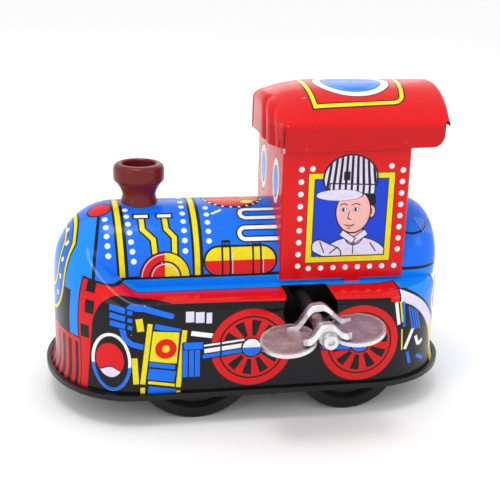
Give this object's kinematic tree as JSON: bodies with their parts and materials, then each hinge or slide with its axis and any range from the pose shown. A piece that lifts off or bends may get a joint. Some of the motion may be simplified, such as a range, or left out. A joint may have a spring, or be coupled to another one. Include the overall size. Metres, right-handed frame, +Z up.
{
  "type": "wind-up tin locomotive",
  "caption": "Small wind-up tin locomotive with a printed boiler body, box cab, plastic chimney, side key and a geared spring motor driving the rear wheels",
  "frame": {"origin": "on the ground, midway along the base, in the body's plane of symmetry", "axes": "+X forwards, towards the nose; +Y to the left side, where the key is; +Z up"},
  "size_m": [0.095, 0.0659, 0.0732],
  "materials": {
    "printed_blue": "gloss varnish over a litho print",
    "printed_red": "gloss varnish over a litho print",
    "black_tin": "gloss",
    "dark_red_plastic": "semi gloss",
    "black_plastic": "satin",
    "key_steel": "bright nickel",
    "plated_steel": "zinc plated",
    "spring_steel": "blued",
    "gear_brass": "stamped"
  },
  "bodies": {
    "chassis": {"body_shell": "printed_blue", "cab_shell": "printed_red", "cab_roof": "printed_red", "base_tray": "black_tin", "chimney": "dark_red_plastic", "chimney_washer": "spring_steel", "motor_plate_left": "plated_steel", "motor_plate_right": "plated_steel", "motor_pillars": "plated_steel", "front_axle_bracket": "plated_steel", "mainspring": "spring_steel"},
    "key": {"key_wings": "key_steel", "winding_arbor": "key_steel", "ratchet_wheel": "plated_steel"},
    "great_wheel": {"great_wheel": "gear_brass", "click_rivet": "plated_steel"},
    "click": {"click": "plated_steel"},
    "layshaft": {"layshaft": "plated_steel", "layshaft_wheel": "gear_brass"},
    "rear_wheels": {"rear_axle": "plated_steel", "axle_pinion": "gear_brass", "rear_wheel_left": "black_plastic", "rear_wheel_right": "black_plastic"},
    "front_wheels": {"front_axle": "plated_steel", "front_wheel_left": "black_plastic", "front_wheel_right": "black_plastic"}
  },
  "joints": [
    {"name": "key_spin", "type": "hinge", "parent": "chassis", "child": "key", "pos_m": [-0.0105, 0, 0.026], "axis": [0, 1, 0], "continuous": true},
    {"name": "great_wheel_spin", "type": "hinge", "parent": "chassis", "child": "great_wheel", "pos_m": [-0.0105, 0, 0.026], "axis": [0, 1, 0], "continuous": true},
    {"name": "click_lift", "type": "hinge", "parent": "great_wheel", "child": "click", "pos_m": [-0.00515, 0, 0.03082], "axis": [0, 1, 0], "range_deg": [0, 12], "stiffness_Nm_per_rad": 0.0002, "springref_deg": -11.46},
    {"name": "layshaft_spin", "type": "hinge", "parent": "chassis", "child": "layshaft", "pos_m": [-0.0224, 0, 0.02217], "axis": [0, 1, 0], "continuous": true},
    {"name": "rear_axle_spin", "type": "hinge", "parent": "chassis", "child": "rear_wheels", "pos_m": [-0.0208, 0, 0.0123], "axis": [0, 1, 0], "continuous": true},
    {"name": "front_axle_spin", "type": "hinge", "parent": "chassis", "child": "front_wheels", "pos_m": [0.0144, 0, 0.0143], "axis": [0, 1, 0], "continuous": true}
  ],
  "couplings": [
    {"joint": "layshaft_spin", "follows": "rear_axle_spin", "ratio": -0.33333},
    {"joint": "great_wheel_spin", "follows": "rear_axle_spin", "ratio": 0.083333},
    {"joint": "key_spin", "follows": "rear_axle_spin", "ratio": 0.083333}
  ]
}
